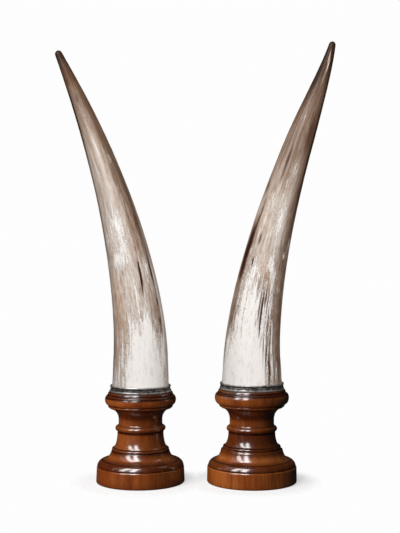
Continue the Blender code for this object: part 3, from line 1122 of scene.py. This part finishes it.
# %% [markdown]
# ## The floor
# The photograph's background is pure white, and all that it shows of the floor is a short
# shadow beside each foot. So the floor is a pale disc that glows a little, takes the shadow, and
# fades away with the distance from the nearer stand. No edge shows then, from any side. To rays
# other than the camera's it is nearly black, because the undersides of the mouldings are dark.

# %% White floor
WHITE = (1.0, 1.0, 1.0)
FLOOR_RADIUS = 0.4
FLOOR_SIDES = 96
FLOOR_FADE = (0.064, 0.098)
FLOOR_WHITE = (0.5, 0.5, 0.5)
FLOOR_GRAIN = (0.45, 0.45, 0.45)
FLOOR_GLOW = 0.575
FLOOR_BOUNCE = (0.04, 0.04, 0.04)
FLOOR_RELIEF = 0.00002


def floor_finish():
    """White card that fades away with the distance from the nearer stand."""
    card = Finish("white_card", Roughness=0.8, Emission_Strength=FLOOR_GLOW)
    place = card.position()
    grain = card.cloud(place, 300.0, 3.0)
    card.use(Base_Color=card.blend(grain * 0.1, FLOOR_WHITE, FLOOR_GRAIN))
    card.use(Emission_Color=WHITE, Normal=card.bump(grain, FLOOR_RELIEF))
    card.use(Roughness=0.8 + (grain - 0.5) * 0.1)
    glowing = Wire(card, card.shader.outputs[0])
    plain = card.node("ShaderNodeBsdfDiffuse", None, {"Color": FLOOR_BOUNCE})
    seen = card.node("ShaderNodeLightPath", output="Is Camera Ray")
    shader = card.node("ShaderNodeMixShader", None, {0: seen, 1: plain, 2: glowing})
    spans = []
    for stand in STANDS.values():
        ends = {0: place, 1: (stand.axis_x, 0.0, 0.0)}
        span = card.node("ShaderNodeVectorMath", {"operation": "DISTANCE"}, ends, output="Value")
        spans.append(span)
    distance = spans[0].sum("MINIMUM", *spans)
    clear = card.node("ShaderNodeBsdfTransparent")
    share = card.ease(distance, *FLOOR_FADE)
    faded = card.node("ShaderNodeMixShader", None, {0: share, 1: shader, 2: clear})
    card.feed(card.tree.nodes["Material Output"].inputs["Surface"], faded)
    return card.material


floor_shape = bmesh.new()
bmesh.ops.create_circle(floor_shape, cap_ends=True, radius=FLOOR_RADIUS, segments=FLOOR_SIDES)
floor_mesh = bpy.data.meshes.new("floor")
floor_shape.to_mesh(floor_mesh)
floor_shape.free()
floor_mesh.materials.append(floor_finish())
floor = bpy.data.objects.new("floor", floor_mesh)
bpy.context.scene.collection.objects.link(floor)
print("The floor is a disc of", FLOOR_RADIUS, "m")

# %% [markdown]
# ## The room
# A white room would light the object from all sides and wash its dark edges out. The camera
# sees white here, and the object sees a dim room: a Light Path node tells them apart.

# %% Room
ROOM_WHITE = 0.985
ROOM_DIM = 0.012


def light_room():
    """White to the camera and dim to the object."""
    world = bpy.data.worlds.new("room")
    world.use_nodes = True
    room = Nodes(world.node_tree)
    seen = room.node("ShaderNodeLightPath", output="Is Camera Ray")
    dim = room.node("ShaderNodeBackground", None, {"Color": WHITE, "Strength": ROOM_DIM})
    white = room.node("ShaderNodeBackground", None, {"Color": WHITE, "Strength": ROOM_WHITE})
    mixed = room.node("ShaderNodeMixShader", None, {0: seen, 1: dim, 2: white})
    room.feed(room.tree.nodes["World Output"].inputs["Surface"], mixed)
    bpy.context.scene.world = world


light_room()
bpy.context.scene.view_settings.view_transform = "Standard"
print("The room's white is", ROOM_WHITE, "to the camera and", ROOM_DIM, "to the object")

# %% [markdown]
# ## The lights
# The main light is a tall soft window, high to the left of the camera, with a bar down its
# middle, which the lacquer mirrors as two upright bands. A faint, narrow pane hangs farther to
# the left. Two warm strips, low to the left, light the mouldings of the stands from the side and
# nothing else. The right side falls dark, but for a weak fill that reaches the horns and
# collars. Behind the pair hang a window and a fill for the views from there. The strips, the
# fills and the back window would show in the lacquer as pale rectangles, so they aren't
# mirrored.

# %% Lights
WARM = (1.0, 0.66, 0.44)
LIT_ALONE = {
    "stands": [*stands.values()],
    "horns": [*horns.values(), *collars.values()],
    "pair": [*horns.values(), *collars.values(), *stands.values()],
}


@dataclass
class Panel:
    """A soft light that faces the pair.

    It hangs in a direction, in degrees, and at a distance from a spot on the middle line at
    the height aim. radiance is how bright its face is. alone names the only pieces it lights.
    """

    azimuth: float
    elevation: float
    distance: float
    aim: float
    width: float
    height: float
    radiance: float
    colour: tuple = WHITE
    alone: str = ""


PANELS = {
    "window_outer": Panel(-50.0, 42.0, 1.5, 0.1, 0.36, 1.4, 6.6),
    "window_inner": Panel(-21.0, 42.0, 1.5, 0.1, 0.36, 1.4, 7.8),
    "window_edge": Panel(-79.0, 42.0, 1.5, 0.1, 0.08, 1.4, 1.5),
    "strip_outer": Panel(-66.0, 2.0, 1.0, 0.075, 0.5, 0.31, 4.2, WARM, "stands"),
    "strip_inner": Panel(-40.0, 2.0, 1.0, 0.075, 0.4, 0.31, 9.6, WARM, "stands"),
    "back_window": Panel(180.0, 42.0, 1.5, 0.1, 0.5, 1.4, 6.0, WHITE, "pair"),
    "side_fill": Panel(40.0, 10.0, 1.2, 0.35, 0.9, 0.9, 3.4, WHITE, "horns"),
    "back_fill": Panel(180.0, 12.0, 1.5, 0.25, 1.6, 1.2, 1.7, WHITE, "pair"),
}


def hang_light(name, panel):
    """Hangs an area light, itself unseen. One that lights only some pieces isn't mirrored."""
    data = bpy.data.lights.new(name, "AREA")
    data.shape = "RECTANGLE"
    data.size, data.size_y = panel.width, panel.height
    data.energy = panel.radiance * math.pi * panel.width * panel.height
    data.color = panel.colour
    azimuth, elevation = math.radians(panel.azimuth), math.radians(panel.elevation)
    level = math.cos(elevation)
    away = Vector((level * math.sin(azimuth), -level * math.cos(azimuth), math.sin(elevation)))
    light = bpy.data.objects.new(name, data)
    light.location = Vector((0.0, 0.0, panel.aim)) + away * panel.distance
    light.rotation_euler = (-away).to_track_quat("-Z", "Y").to_euler()
    light.visible_camera = False
    bpy.context.scene.collection.objects.link(light)
    if panel.alone:
        lit = bpy.data.collections.new(f"lit_by_{name}")
        for piece in LIT_ALONE[panel.alone]:
            lit.objects.link(piece)
        light.light_linking.receiver_collection = lit
        light.visible_glossy = False


for name, panel in PANELS.items():
    hang_light(name, panel)
print("Lights:", [*PANELS])
